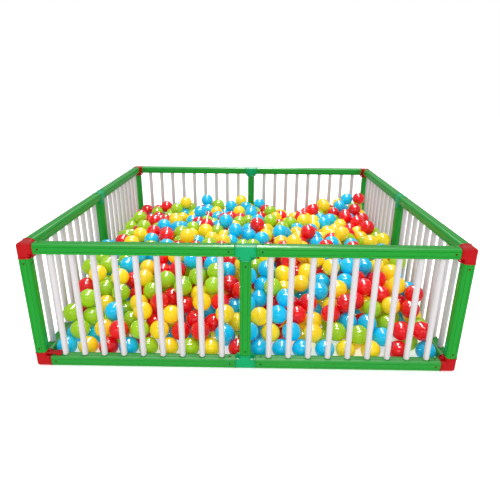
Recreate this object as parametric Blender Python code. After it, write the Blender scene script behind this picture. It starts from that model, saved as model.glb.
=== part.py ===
"""Square ball pit: a push-together frame of square tube with barred sides, and its balls.

The frame has two sections to a side. Three-armed connectors join the tubes at the corners and
tees join them at the middle of each side, top and bottom. Lengths are in metres, with Z up and
the origin on the floor at the middle of the pit.
"""
import math
import random

import bmesh
import bpy
from mathutils import Matrix, Vector

# The frame
SECTION = 0.700
FRAME_HEIGHT = 0.451
TUBE = 0.038
TUBE_WALL = 0.0025
TUBE_CORNER = 0.0075
FIT = 0.0003

# The bars of one section
BARS = 9
BAR = 0.020
BAR_END_SPACE = 0.080

# The connectors, each arm measured from the connector's centre
CORNER_ARM = 0.033
TEE_ARM = 0.0335
TEE_STEM = 0.033
COLLAR_WIDTH = 0.003
COLLAR_PROUD = 0.0015
SPIGOT = 0.028
EAR_THICKNESS = 0.005
EAR_ROOT = 0.001
EYELET = 0.005

# The tongue of one bottom corner, which lies over the front rail as far as the first bar
TONGUE_WIDTH = 0.020
TONGUE_THICKNESS = 0.008
TONGUE_RISE = 0.005
TONGUE_OUTWARD = 0.004
TONGUE_CLEAR = 0.0015

# The balls
BALL = 0.070
BALL_PITCH = 0.0788
BALL_SHIFT = 0.004
HEAP_HEIGHT = 0.240
HEAP_FRONT_RUN = 0.420
HEAP_SIDE_DROP = 0.030
HEAP_BACK_DROP = 0.060
HEAP_ROUGHNESS = 0.012
MOUND_RISE = 0.065
MOUND_SPREAD = 0.170
MOUND_PLACE_SHARES = (0.85, 0.85)
SADDLE_DEPTH = 0.018
VALLEY_DEPTH = 0.042
VALLEY_REACH = 0.002
VALLEY_FLOOR = 0.008
NECK_REACH = 0.014
CLEAR_OF_EARS = 0.001
HEAP_SEED = 11

# Fineness of the round shapes
TUBE_CORNER_STEPS = 1
BAR_SIDES = 8
BALL_SEGMENTS = 8
EYELET_SIDES = 6
SMOOTH_ANGLE = math.radians(50)
FLAT_ANGLE = math.radians(1)
SAME_PLACE = 0.00001

# Heights of the tube centre lines
BOTTOM_LINE = TUBE / 2 + COLLAR_PROUD
TOP_LINE = FRAME_HEIGHT - BOTTOM_LINE

# A loose ball lies over the middle of four that stand a pitch apart, its centre this much higher
POCKET_RISE = math.sqrt((BALL + FIT) ** 2 - BALL_PITCH ** 2 / 2)
TOUCH_ANGLE = math.asin(POCKET_RISE / (BALL + FIT))

# Colours and finish of the plastics
GREEN = (0.020, 0.330, 0.055)
TEAL = (0.010, 0.330, 0.130)
RED = (0.620, 0.008, 0.020)
WHITE = (0.800, 0.780, 0.820)
BALL_COLOURS = {
    "red": (0.700, 0.010, 0.020),
    "yellow": (0.900, 0.560, 0.015),
    "lime": (0.330, 0.560, 0.020),
    "blue": (0.010, 0.400, 0.700),
}
TUBE_ROUGHNESS = 0.35
CONNECTOR_ROUGHNESS = 0.30
BAR_ROUGHNESS = 0.40
BALL_ROUGHNESS = 0.15

# Loose balls on top of the heap: place across and along the pit, and colour
LOOSE_BALL_SHARES = [
    (-0.72, 0.83, "lime"),
    (-0.50, 0.61, "blue"),
    (-0.17, 0.94, "blue"),
    (0.50, 0.72, "red"),
    (0.72, 0.94, "yellow"),
    (0.94, 0.72, "red"),
    (0.94, 0.17, "red"),
    (0.72, -0.06, "yellow"),
    (0.39, -0.06, "red"),
    (0.28, -0.28, "yellow"),
    (0.06, 0.06, "red"),
    (-0.17, 0.17, "blue"),
    (-0.39, -0.17, "yellow"),
    (-0.94, 0.39, "lime"),
]

# A quarter turn takes the front side to the right, then to the back and to the left
SIDES = ["front", "right", "back", "left"]
CORNERS = ["front_left", "front_right", "back_right", "back_left"]
TONGUE_AT = ("bottom", "front_left")
SECTION_NAMES = [
    ("front_left", "front_right"),
    ("right_front", "right_back"),
    ("back_right", "back_left"),
    ("left_back", "left_front"),
]


def clear_scene():
    """Start from an empty scene."""
    for item in list(bpy.data.objects):
        bpy.data.objects.remove(item, do_unlink=True)


def plastic(name, colour, roughness):
    """A plain moulded plastic."""
    material = bpy.data.materials.new(name)
    material.use_nodes = True
    shader = material.node_tree.nodes["Principled BSDF"]
    shader.inputs["Base Color"].default_value = (*colour, 1)
    shader.inputs["Roughness"].default_value = roughness
    shader.inputs["Metallic"].default_value = 0
    material.diffuse_color = (*colour, 1)
    return material


def finish_mesh(name, bm, *materials):
    """Turn a bmesh into a mesh whose faces point out and whose round sides look smooth."""
    bmesh.ops.recalc_face_normals(bm, faces=bm.faces)
    mesh = bpy.data.meshes.new(name)
    bm.to_mesh(mesh)
    bm.free()
    for material in materials:
        mesh.materials.append(material)
    mesh.shade_smooth()
    mesh.set_sharp_from_angle(angle=SMOOTH_ANGLE)
    return mesh


def place(name, mesh, location=(0, 0, 0), rotation=None):
    """Add one named piece to the scene."""
    piece = bpy.data.objects.new(name, mesh)
    bpy.context.scene.collection.objects.link(piece)
    piece.location = location
    if rotation is not None:
        piece.rotation_euler = rotation.to_euler()
    return piece


def join_meshes(name, base_mesh, *other_meshes):
    """One closed solid from a mesh and the meshes that overlap it, its flat faces made whole."""
    base = place(name, base_mesh)
    guests = [place(f"{name}_guest", mesh) for mesh in other_meshes]
    for guest in guests:
        union = base.modifiers.new("join", "BOOLEAN")
        union.operation = "UNION"
        union.solver = "EXACT"
        union.material_mode = "TRANSFER"
        union.object = guest
    bpy.context.view_layer.update()
    shown = base.evaluated_get(bpy.context.evaluated_depsgraph_get())
    joined = bpy.data.meshes.new_from_object(shown)
    for temporary in [base, *guests]:
        bpy.data.objects.remove(temporary, do_unlink=True)
    bm = bmesh.new()
    bm.from_mesh(joined)
    bmesh.ops.remove_doubles(bm, verts=bm.verts, dist=SAME_PLACE)
    bmesh.ops.dissolve_limit(
        bm,
        angle_limit=FLAT_ANGLE,
        verts=bm.verts,
        edges=bm.edges,
        delimit={"MATERIAL"},
    )
    return finish_mesh(name, bm, *joined.materials)


def rounded_square(size, radius, steps):
    """Points round a square, counter-clockwise, with each corner an arc of so many steps."""
    points = []
    straight = size / 2 - radius
    for corner in range(4):
        turn = math.radians(90) * corner
        along = math.cos(turn + math.radians(45)) * math.sqrt(2) * straight
        across = math.sin(turn + math.radians(45)) * math.sqrt(2) * straight
        for step in range(steps + 1):
            angle = turn + math.radians(90) * step / steps
            points.append((along + radius * math.cos(angle), across + radius * math.sin(angle)))
    return points


def add_ring(bm, x, outline):
    """A closed loop of points square to X."""
    return [bm.verts.new((x, y, z)) for y, z in outline]


def loft(bm, rings, closed=False):
    """Skin a row of rings. It ends in flat caps, or where closed runs on into the first ring."""
    pairs = list(zip(rings, rings[1:]))
    if closed:
        pairs.append((rings[-1], rings[0]))
    else:
        bm.faces.new(rings[0])
        bm.faces.new(rings[-1])
    for first, second in pairs:
        if len(first) == len(second):
            for k in range(len(first)):
                bm.faces.new((first[k - 1], first[k], second[k], second[k - 1]))
        else:
            fill_between(bm, first, second)


def fill_between(bm, first, second):
    """Flat triangles between two rings in one plane, each ring's points taken in turn."""
    middle = sum((point.co for point in second), Vector()) / len(second)
    points = []
    for ring in (first, second):
        other = second if ring is first else first
        for point in ring:
            offset = point.co - middle
            points.append((math.atan2(offset.z, offset.y), point, ring, other))
    points.sort(key=lambda entry: entry[0])
    last = {id(ring): point for _, point, ring, _ in points}
    for _, point, ring, other in points:
        bm.faces.new((point, last[id(ring)], last[id(other)]))
        last[id(ring)] = point


def tube_mesh(name, start, end, material):
    """A hollow square tube along X, open at both ends."""
    outside = rounded_square(TUBE, TUBE_CORNER, TUBE_CORNER_STEPS)
    bore_corner = TUBE_CORNER - TUBE_WALL
    bore = rounded_square(TUBE - 2 * TUBE_WALL, bore_corner, TUBE_CORNER_STEPS)
    bm = bmesh.new()
    rings = [
        add_ring(bm, start, outside),
        add_ring(bm, start, bore),
        add_ring(bm, end, bore),
        add_ring(bm, end, outside),
    ]
    loft(bm, rings, closed=True)
    return finish_mesh(name, bm, material)


def bars_mesh(material):
    """The bars of one section, standing in a row along X over a rail's centre line."""
    low = TUBE / 2 - TUBE_WALL / 2
    high = TOP_LINE - BOTTOM_LINE - TUBE / 2 - FIT
    row = SECTION - 2 * BAR_END_SPACE
    bm = bmesh.new()
    for bar in range(BARS):
        x = row * (bar / (BARS - 1) - 1 / 2)
        bmesh.ops.create_cone(
            bm,
            cap_ends=True,
            segments=BAR_SIDES,
            radius1=BAR / 2,
            radius2=BAR / 2,
            depth=high - low,
            matrix=Matrix.Translation((x, 0, (high + low) / 2)),
        )
    return finish_mesh("bars", bm, material)


def arm_sections(length):
    """An arm's body, raised collar and spigot, as outlines at their places along it."""
    body = rounded_square(TUBE, TUBE_CORNER, TUBE_CORNER_STEPS)
    proud = TUBE + 2 * COLLAR_PROUD
    collar = rounded_square(proud, TUBE_CORNER + COLLAR_PROUD, TUBE_CORNER_STEPS)
    spigot_corner = TUBE_CORNER - TUBE_WALL - FIT
    spigot_width = TUBE - 2 * TUBE_WALL - 2 * FIT
    spigot = rounded_square(spigot_width, spigot_corner, TUBE_CORNER_STEPS)
    return [
        (length - COLLAR_WIDTH, body),
        (length - COLLAR_WIDTH, collar),
        (length, collar),
        (length, spigot),
        (length + SPIGOT, spigot),
    ]


def arm_mesh(name, length, material):
    """One arm of a connector, along X from the connector's centre."""
    sections = arm_sections(length)
    root = (0, sections[0][1])
    bm = bmesh.new()
    loft(bm, [add_ring(bm, x, outline) for x, outline in (root, *sections)])
    return finish_mesh(name, bm, material)


def run_mesh(name, length, material):
    """Two arms in one straight run along X."""
    sections = arm_sections(length)
    far_sections = [(-x, outline) for x, outline in reversed(sections)]
    bm = bmesh.new()
    loft(bm, [add_ring(bm, x, outline) for x, outline in (*far_sections, *sections)])
    return finish_mesh(name, bm, material)


def block_mesh(name, material):
    """The block where a connector's arms meet, its edges cut back like the tube's."""
    bm = bmesh.new()
    bmesh.ops.create_cube(bm, size=TUBE)
    bmesh.ops.bevel(
        bm, geom=bm.edges, offset=TUBE_CORNER, segments=TUBE_CORNER_STEPS, affect="EDGES"
    )
    return finish_mesh(name, bm, material)


def ear_mesh(name, first_arm, second_arm, has_eyelet, material):
    """A flat ear that fills the bend between an arm along X and one along Y."""
    root = TUBE / 2 - EAR_ROOT
    reach_x = first_arm - TUBE / 2
    reach_y = second_arm - TUBE / 2
    outline = [
        (root, root),
        (TUBE / 2 + reach_x, root),
        (TUBE / 2 + reach_x, TUBE / 2 + reach_y / 2),
        (TUBE / 2 + reach_x / 2, TUBE / 2 + reach_y),
        (root, TUBE / 2 + reach_y),
    ]
    centre_x = TUBE / 2 + reach_x / 2
    centre_y = TUBE / 2 + reach_y / 2
    eyelet = []
    for k in range(EYELET_SIDES):
        angle = 2 * math.pi * k / EYELET_SIDES
        x = centre_x + EYELET / 2 * math.cos(angle)
        y = centre_y + EYELET / 2 * math.sin(angle)
        eyelet.append((x, y))
    bm = bmesh.new()
    if has_eyelet:
        rings = [
            add_ring(bm, -EAR_THICKNESS / 2, outline),
            add_ring(bm, -EAR_THICKNESS / 2, eyelet),
            add_ring(bm, EAR_THICKNESS / 2, eyelet),
            add_ring(bm, EAR_THICKNESS / 2, outline),
        ]
    else:
        rings = [add_ring(bm, side * EAR_THICKNESS / 2, outline) for side in (-1, 1)]
    loft(bm, rings, closed=has_eyelet)
    bmesh.ops.transform(bm, matrix=axes_matrix("Y", "Z", "X"), verts=bm.verts)
    return finish_mesh(name, bm, material)


def axes_matrix(x_goes_from, y_goes_from, z_goes_from):
    """The matrix that gives each axis the coordinate of the axis named for it."""
    rows = []
    for source in (x_goes_from, y_goes_from, z_goes_from):
        row = [0, 0, 0, 0]
        row["XYZ".index(source)] = 1
        rows.append(row)
    return Matrix([*rows, [0, 0, 0, 1]])


def turned(mesh, rotation):
    """A copy of a mesh, turned about the origin."""
    copy = mesh.copy()
    copy.transform(rotation.to_4x4())
    return copy


def quarter_turns(count, axis):
    """A rotation by so many quarter turns, exact to the last digit."""
    turn = Matrix.Rotation(math.radians(90) * count, 3, axis)
    return Matrix([[round(value) for value in row] for row in turn])


def corner_mesh(material):
    """A three-armed connector with arms along +X, +Y and -Z, and an ear in each bend."""
    arm = arm_mesh("corner_arm", CORNER_ARM, material)
    ear = ear_mesh("corner_ear", CORNER_ARM, CORNER_ARM, False, material)
    return join_meshes(
        "corner_connector",
        block_mesh("corner_block", material),
        arm,
        turned(arm, quarter_turns(1, "Z")),
        turned(arm, quarter_turns(1, "Y")),
        ear,
        turned(ear, quarter_turns(3, "X")),
        turned(ear, quarter_turns(1, "Y")),
    )


def tongue_mesh(material):
    """A flat tongue along +Y that lies clear of the rail on the side of the connector's -Z arm."""
    start = TUBE / 2 - EAR_ROOT
    end = BAR_END_SPACE - BAR / 2 - TONGUE_CLEAR
    middle = Vector((
        -TONGUE_OUTWARD,
        (start + end) / 2,
        -TUBE / 2 - TONGUE_RISE - TONGUE_THICKNESS / 2,
    ))
    size = Matrix.Diagonal((TONGUE_WIDTH, end - start, TONGUE_THICKNESS, 1))
    bm = bmesh.new()
    bmesh.ops.create_cube(bm, size=1, matrix=Matrix.Translation(middle) @ size)
    return finish_mesh("tongue", bm, material)


def tee_mesh(material):
    """A tee with arms along +X and -X and a stem along -Z, with an ear on each side of it."""
    stem = turned(arm_mesh("tee_stem", TEE_STEM, material), quarter_turns(1, "Y"))
    flat_ear = ear_mesh("tee_ear", TEE_ARM, TEE_STEM, True, material)
    ear = turned(flat_ear, quarter_turns(3, "X"))
    return join_meshes(
        "tee_connector",
        run_mesh("tee_run", TEE_ARM, material),
        stem,
        ear,
        turned(ear, quarter_turns(2, "Z")),
    )


def place_section(rail, names, turn, height, kind):
    """The two rails of one side, each with its corner end outward."""
    side = quarter_turns(turn, "Z")
    for name, sign in zip(names, (-1, 1)):
        location = side @ Vector((sign * SECTION / 2, -SECTION, height))
        facing = side if sign < 0 else side @ quarter_turns(2, "Z")
        place(f"{kind}_{name}", rail, location, facing)


def build_rails(green, white):
    """Eight top rails, and eight bottom rails with the bars of their section on them."""
    start = -SECTION / 2 + CORNER_ARM + FIT
    end = SECTION / 2 - TEE_ARM - FIT
    top_rail = tube_mesh("top_rail", start, end, green)
    plain_rail = tube_mesh("bottom_rail", start, end, green)
    barred_rail = join_meshes("barred_rail", plain_rail, bars_mesh(white))
    for turn, names in enumerate(SECTION_NAMES):
        place_section(top_rail, names, turn, TOP_LINE, "top_rail")
        place_section(barred_rail, names, turn, BOTTOM_LINE, "barred_rail")


def build_posts(green):
    """A post at each corner and at the middle of each side."""
    upright = quarter_turns(1, "Y")
    half_corner = (TOP_LINE - BOTTOM_LINE) / 2 - CORNER_ARM - FIT
    half_middle = (TOP_LINE - BOTTOM_LINE) / 2 - TEE_STEM - FIT
    corner_post = tube_mesh("corner_post", -half_corner, half_corner, green)
    middle_post = tube_mesh("middle_post", -half_middle, half_middle, green)
    middle_height = (TOP_LINE + BOTTOM_LINE) / 2
    for turn, (corner, side) in enumerate(zip(CORNERS, SIDES)):
        rotation = quarter_turns(turn, "Z")
        corner_place = rotation @ Vector((-SECTION, -SECTION, middle_height))
        middle_place = rotation @ Vector((0, -SECTION, middle_height))
        place(f"corner_post_{corner}", corner_post, corner_place, rotation @ upright)
        place(f"middle_post_{side}", middle_post, middle_place, rotation @ upright)


def build_connectors(red, teal):
    """Corner connectors and tees, those at the floor turned over."""
    corner = corner_mesh(red)
    tongue_corner = join_meshes("tongue_corner", corner, tongue_mesh(red))
    tee = tee_mesh(teal)
    swap_arms = Matrix(((0, 1, 0), (1, 0, 0), (0, 0, -1)))
    over = quarter_turns(2, "X")
    for turn, (corner_name, side) in enumerate(zip(CORNERS, SIDES)):
        rotation = quarter_turns(turn, "Z")
        for level, height in (("top", TOP_LINE), ("bottom", BOTTOM_LINE)):
            corner_place = rotation @ Vector((-SECTION, -SECTION, height))
            tee_place = rotation @ Vector((0, -SECTION, height))
            corner_turn = rotation if level == "top" else rotation @ swap_arms
            tee_turn = rotation if level == "top" else rotation @ over
            has_tongue = (level, corner_name) == TONGUE_AT
            shape = tongue_corner if has_tongue else corner
            place(f"{level}_corner_{corner_name}", shape, corner_place, corner_turn)
            place(f"{level}_tee_{side}", tee, tee_place, tee_turn)


class Heap:
    """The balls in the pit: a loose grid of them, each cell showing its uppermost ball."""

    def __init__(self, ball_materials):
        self.materials = ball_materials
        clear_half = SECTION - CORNER_ARM - CLEAR_OF_EARS
        self.count = int(2 * (clear_half - BALL / 2) / BALL_PITCH) + 1
        self.edge = (self.count - 1) / 2 * BALL_PITCH
        self.dice = random.Random(HEAP_SEED)
        self.tops = self.find_tops()
        self.pockets = self.find_pockets()

    def grid_place(self, i, j):
        """Where a cell stands on the floor plan."""
        return i * BALL_PITCH - self.edge, j * BALL_PITCH - self.edge

    def surface(self, x, y):
        """Height of the heap, as the centre height of its uppermost balls."""
        rise = min(max((y + self.edge) / HEAP_FRONT_RUN, 0), 1)
        front = 1 - (1 - rise) ** 2
        across = x / self.edge
        behind = max(y / self.edge, 0)
        mound_x = x - MOUND_PLACE_SHARES[0] * self.edge
        mound_y = y - MOUND_PLACE_SHARES[1] * self.edge
        mound = math.exp(-(mound_x ** 2 + mound_y ** 2) / MOUND_SPREAD ** 2)
        top = HEAP_HEIGHT - HEAP_SIDE_DROP * across ** 2 - HEAP_BACK_DROP * behind ** 2
        return BALL / 2 + front * (top + MOUND_RISE * mound - BALL / 2)

    def shifted(self, index, at):
        """A place moved a little at random, along the outside only inward."""
        shift = self.dice.uniform(-BALL_SHIFT, BALL_SHIFT)
        if index in (0, self.count - 1):
            shift = -math.copysign(shift, at)
        return at + shift

    def find_tops(self):
        """Centre of the uppermost ball in each cell."""
        tops = {}
        for i in range(self.count):
            for j in range(self.count):
                x, y = self.grid_place(i, j)
                level = self.surface(x, y) + self.dice.uniform(-HEAP_ROUGHNESS, HEAP_ROUGHNESS)
                tops[i, j] = (self.shifted(i, x), self.shifted(j, y), max(level, BALL / 2))
        return tops

    def find_pockets(self):
        """The loose balls' places; the four balls under each stand level and a pitch apart."""
        pockets = []
        last = self.count - 2
        for across_share, along_share, colour in LOOSE_BALL_SHARES:
            i = min(max(round(across_share * self.edge / BALL_PITCH + last / 2), 0), last)
            j = min(max(round(along_share * self.edge / BALL_PITCH + last / 2), 0), last)
            carriers = [(i, j), (i + 1, j), (i, j + 1), (i + 1, j + 1)]
            level = sum(self.tops[cell][2] for cell in carriers) / len(carriers)
            for cell in carriers:
                self.tops[cell] = (*self.grid_place(*cell), level)
            x, y = self.grid_place(i, j)
            spot = (x + BALL_PITCH / 2, y + BALL_PITCH / 2, level + POCKET_RISE)
            pockets.append((spot, colour))
        return pockets

    def cells_round(self, cells):
        """The top balls of those cells that are in the pit."""
        return [self.tops[cell] for cell in cells if cell in self.tops]

    def between(self, balls, depth):
        """The low point between some balls, so far below the mean of their centres."""
        return sum((Vector(ball) for ball in balls), Vector()) / len(balls) - Vector((0, 0, depth))

    def layer_heights(self, level):
        """Centre heights of the balls under one whose centre is at this level, from it down."""
        steps = max(round((level - BALL / 2) / (BALL + FIT)), 0)
        return [level - (level - BALL / 2) * step / max(steps, 1) for step in range(steps + 1)]

    def bed_mesh(self):
        """Every ball but the loose ones, as one solid with the balls' domes for its surface."""
        bm = bmesh.new()
        columns = {}
        for a in range(self.count + 1):
            for b in range(self.count + 1):
                columns[a, b] = self.valley_column(bm, a, b)
        saddles = {}
        for i, j in self.tops:
            for side in range(4):
                key = self.saddle_key(i, j, side)
                if key not in saddles:
                    saddles[key] = self.saddle(bm, i, j, side)
        for i, j in self.tops:
            corners = [columns[i + a, j + b] for a, b in ((1, 1), (0, 1), (0, 0), (1, 0))]
            mids = [saddles[self.saddle_key(i, j, side)] for side in range(4)]
            faces = self.dome(bm, self.tops[i, j], corners, mids)
            for side in range(4):
                if self.is_outer(i, j, side):
                    beside = (corners[side - 1], corners[side])
                    faces += self.flank(bm, self.tops[i, j], side, mids[side], beside)
            colour = self.dice.randrange(len(self.materials))
            for face in faces:
                face.material_index = colour
        bm.faces.new(self.footprint(columns))
        return finish_mesh("ball_bed", bm, *self.materials)

    def is_outer(self, i, j, side):
        """Whether a cell's side, counted from +X round to -Y, is on the outside of the heap."""
        last = self.count - 1
        return (i == last, j == last, i == 0, j == 0)[side]

    def saddle_key(self, i, j, side):
        """One name for the side that two cells share."""
        return [("x", i + 1, j), ("y", i, j + 1), ("x", i, j), ("y", i, j)][side]

    def saddle(self, bm, i, j, side):
        """The point where two balls come closest, or a ball's outermost point."""
        ball = self.tops[i, j]
        outward = quarter_turns(side, "Z") @ Vector((1, 0, 0))
        if self.is_outer(i, j, side):
            return bm.verts.new(Vector(ball) + outward * BALL / 2)
        neighbour = self.tops[i + int(outward.x), j + int(outward.y)]
        return bm.verts.new(self.between([ball, neighbour], SADDLE_DEPTH))

    def valley_column(self, bm, a, b):
        """The low point between four balls, and along the outside the line down from it."""
        balls = self.cells_round([(a - 1, b - 1), (a, b - 1), (a - 1, b), (a, b)])
        x, y, level = self.between(balls, 0)
        is_corner = len(balls) == 1
        reach = BALL / 2 * math.sqrt(1 / 2) if is_corner else VALLEY_REACH
        if a in (0, self.count):
            x += math.copysign(reach, x)
        if b in (0, self.count):
            y += math.copysign(reach, y)
        column = [bm.verts.new((x, y, max(level - VALLEY_DEPTH, VALLEY_FLOOR)))]
        if len(balls) < 4:
            layers = self.layer_heights(level)
            for upper, lower in zip(layers[1:], layers[2:]):
                column.append(bm.verts.new((x, y, (upper + lower) / 2)))
            column.append(bm.verts.new((x, y, 0)))
        return column

    def dome(self, bm, ball, corners, mids):
        """The top of one ball: its crown, four shoulders where loose balls touch, and skirts."""
        x, y, level = ball
        crown = bm.verts.new((x, y, level + BALL / 2))
        shoulders = []
        for corner in range(4):
            angle = math.radians(90) * corner + math.radians(45)
            out = BALL / 2 * math.cos(TOUCH_ANGLE)
            high = level + BALL / 2 * math.sin(TOUCH_ANGLE)
            spot = (x + out * math.cos(angle), y + out * math.sin(angle), high)
            shoulders.append(bm.verts.new(spot))
        faces = []
        for k in range(4):
            valley = corners[k][0]
            faces.append(bm.faces.new((crown, shoulders[k - 1], shoulders[k])))
            faces.append(bm.faces.new((shoulders[k - 1], mids[k], shoulders[k])))
            faces.append(bm.faces.new((shoulders[k], mids[k], valley)))
            faces.append(bm.faces.new((shoulders[k], valley, mids[(k + 1) % 4])))
        return faces

    def flank(self, bm, ball, side, outermost, beside):
        """The outside of one stack of balls, from the uppermost ball's side to the floor."""
        x, y, level = ball
        outward = quarter_turns(side, "Z") @ Vector((1, 0, 0))
        layers = self.layer_heights(level)
        chain = [outermost]
        for upper, lower in zip(layers, layers[1:]):
            for reach, height in ((NECK_REACH, (upper + lower) / 2), (BALL / 2, lower)):
                spot = (x + outward.x * reach, y + outward.y * reach, height)
                chain.append(bm.verts.new(spot))
        faces = [bm.faces.new((chain[-1], beside[0][-1], beside[1][-1]))]
        for column in beside:
            faces += self.lace(bm, chain, column)
        return faces

    def lace(self, bm, first, second):
        """Fill between two lines of points that run down side by side."""
        faces = []
        a = 0
        b = 0
        while a < len(first) - 1 or b < len(second) - 1:
            step_first = b == len(second) - 1
            if a < len(first) - 1 and not step_first:
                step_first = first[a + 1].co.z >= second[b + 1].co.z
            if step_first:
                faces.append(bm.faces.new((first[a], first[a + 1], second[b])))
                a += 1
            else:
                faces.append(bm.faces.new((first[a], second[b + 1], second[b])))
                b += 1
        return faces

    def footprint(self, columns):
        """The points of the heap on the floor, in order round it from the front left."""
        end = self.count
        loop = [columns[k, 0] for k in range(end)]
        loop += [columns[end, k] for k in range(end)]
        loop += [columns[k, end] for k in range(end, 0, -1)]
        loop += [columns[0, k] for k in range(end, 0, -1)]
        return [column[-1] for column in loop]


def ball_mesh(colour, material):
    """One ball, with points where it touches the balls that carry it."""
    bm = bmesh.new()
    rings = []
    upper = (TOUCH_ANGLE + math.radians(90)) / 2
    for latitude in (-upper, -TOUCH_ANGLE, 0, TOUCH_ANGLE, upper):
        ring = []
        for k in range(BALL_SEGMENTS):
            angle = 2 * math.pi * k / BALL_SEGMENTS
            out = BALL / 2 * math.cos(latitude)
            high = BALL / 2 * math.sin(latitude)
            ring.append(bm.verts.new((out * math.cos(angle), out * math.sin(angle), high)))
        rings.append(ring)
    for below, above in zip(rings, rings[1:]):
        for k in range(BALL_SEGMENTS):
            bm.faces.new((below[k - 1], below[k], above[k], above[k - 1]))
    for ring, pole in ((rings[0], -BALL / 2), (rings[-1], BALL / 2)):
        tip = bm.verts.new((0, 0, pole))
        for k in range(BALL_SEGMENTS):
            bm.faces.new((ring[k - 1], ring[k], tip))
    return finish_mesh(f"{colour}_ball", bm, material)


def build_balls():
    """The heap, and the loose balls that lie in its pockets."""
    materials = {}
    meshes = {}
    for colour, rgb in BALL_COLOURS.items():
        materials[colour] = plastic(f"{colour}_ball_plastic", rgb, BALL_ROUGHNESS)
        meshes[colour] = ball_mesh(colour, materials[colour])
    heap = Heap(list(materials.values()))
    place("ball_bed", heap.bed_mesh())
    for number, (spot, colour) in enumerate(heap.pockets, start=1):
        place(f"loose_ball_{number:02d}", meshes[colour], spot)


def build():
    """The whole ball pit."""
    clear_scene()
    green = plastic("green_plastic", GREEN, TUBE_ROUGHNESS)
    teal = plastic("teal_plastic", TEAL, CONNECTOR_ROUGHNESS)
    red = plastic("red_plastic", RED, CONNECTOR_ROUGHNESS)
    white = plastic("white_plastic", WHITE, BAR_ROUGHNESS)
    build_rails(green, white)
    build_posts(green)
    build_connectors(red, teal)
    build_balls()


build()
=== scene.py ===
"""The looks of a square ball pit: its square tubes, bars and connectors, and a heap of balls.

Lengths are in metres, with Z up and the origin on the floor at the middle of the pit.
"""
import math
import random

import bmesh
import bpy
import numpy as np
from mathutils import Matrix, Quaternion, Vector


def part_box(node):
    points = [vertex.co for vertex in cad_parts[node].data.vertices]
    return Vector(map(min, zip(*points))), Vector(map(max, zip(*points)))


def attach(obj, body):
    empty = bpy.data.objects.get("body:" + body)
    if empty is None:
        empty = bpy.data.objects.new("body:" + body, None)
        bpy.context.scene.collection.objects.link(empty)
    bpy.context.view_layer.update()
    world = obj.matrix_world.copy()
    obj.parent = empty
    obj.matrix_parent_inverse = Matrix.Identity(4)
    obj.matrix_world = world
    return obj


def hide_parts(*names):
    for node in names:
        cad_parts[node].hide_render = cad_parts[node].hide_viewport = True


bl_info = {
    "name": "Ball Pit",
    "version": (1, 0, 0),
    "blender": (4, 5, 0),
    "location": "3D View > Sidebar > Ball Pit",
    "description": "Builds a square ball pit with a push-together frame and a heap of balls",
    "category": "Object",
}

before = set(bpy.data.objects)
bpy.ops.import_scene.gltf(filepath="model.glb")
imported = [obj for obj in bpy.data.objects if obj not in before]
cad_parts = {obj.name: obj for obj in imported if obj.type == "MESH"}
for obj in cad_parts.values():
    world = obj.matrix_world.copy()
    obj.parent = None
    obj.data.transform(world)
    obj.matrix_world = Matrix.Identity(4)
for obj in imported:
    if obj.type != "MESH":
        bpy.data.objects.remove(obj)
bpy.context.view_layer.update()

# Sizes that the loaded frame gives
post_low, post_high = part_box("corner_post_front_left")
loaded_tube = post_high.x - post_low.x
loaded_section = -(post_low.x + post_high.x) / 2
loaded_proud = post_low.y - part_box("bottom_tee_front")[0].y
loaded_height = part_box("top_tee_front")[1].z

SIDES = ["front", "right", "back", "left"]
CORNERS = ["front_left", "front_right", "back_right", "back_left"]
LEVELS = ["bottom", "top"]
LOOSE_BALL_COLOURS = [
    "lime", "blue", "blue", "red", "yellow", "red", "red",
    "yellow", "red", "yellow", "red", "blue", "yellow", "lime",
]
BALL_COLOURS = ["red", "yellow", "lime", "blue"]
# How common each colour is, and how much commoner it gets towards the right wall
COLOUR_SHARES = (27, 23, 26, 24)
RIGHTWARD_SHARES = (2, 5, -12, 5)
FRONT_ROW_COLOURS = [
    "blue", "yellow", "red", "blue", "lime", "yellow", "lime", "yellow",
    "red", "blue", "blue", "blue", "blue", "yellow", "yellow", "red", "blue",
]
# Places as shares of the way from the pit's middle to the right and to the back
MOUND_PLACE_SHARES = (0.85, 0.85)
DIP_PLACE_SHARES = (0.44, 0.92)
CREST_SHARES = [
    (-0.93, 0.97, "red"), (-0.80, 0.97, "red"), (-0.66, 0.97, "blue"), (-0.50, 0.97, "lime"),
    (-0.35, 0.97, "yellow"), (-0.25, 0.97, "red"), (-0.10, 0.98, "blue"),
    (-0.72, 0.93, "lime"), (-0.84, 0.97, "red"), (-0.58, 0.95, "yellow"), (-0.40, 0.90, "blue"),
    (-0.30, 0.95, "lime"), (-0.21, 0.97, "yellow"), (-0.13, 0.92, "yellow"), (-0.05, 0.93, "blue"),
    (0.14, 0.80, "lime"), (0.61, 0.97, "red"), (0.71, 0.97, "yellow"), (0.66, 0.85, "yellow"),
    (0.80, 0.97, "yellow"), (0.92, 0.92, "lime"), (0.97, 0.85, "red"), (0.85, 0.93, "blue"),
]
# Each light's name, the setting with its power, its size, its place and what it faces
LIGHTS = [
    ("top light", "top_light", (3.6, 2.4), (0, 0.5, 3.0), (0, 0, 0.2)),
    ("front light", "front_light", (6.4, 2.8), (0, -7.2, 3.2), (0, 0, 0.2)),
]
GLEAMS = [
    ("strip light", "strip_light", (1.35, 22.0), (0, 4.0, 12), (0, 4.0, 0)),
    ("left lamp", "lamp", (1.2, 1.2), (-4.0, -5.3, 12), (0, 0, 0.2)),
    ("right lamp", "lamp", (1.8, 1.5), (4.0, -5.3, 12), (0, 0, 0.2)),
]
FLOOR_REACH = 14
SENSOR_MILLIMETRES = 36
FAR_CLIP = 60
WHITE_LIGHT = (1, 1, 1, 1)

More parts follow.
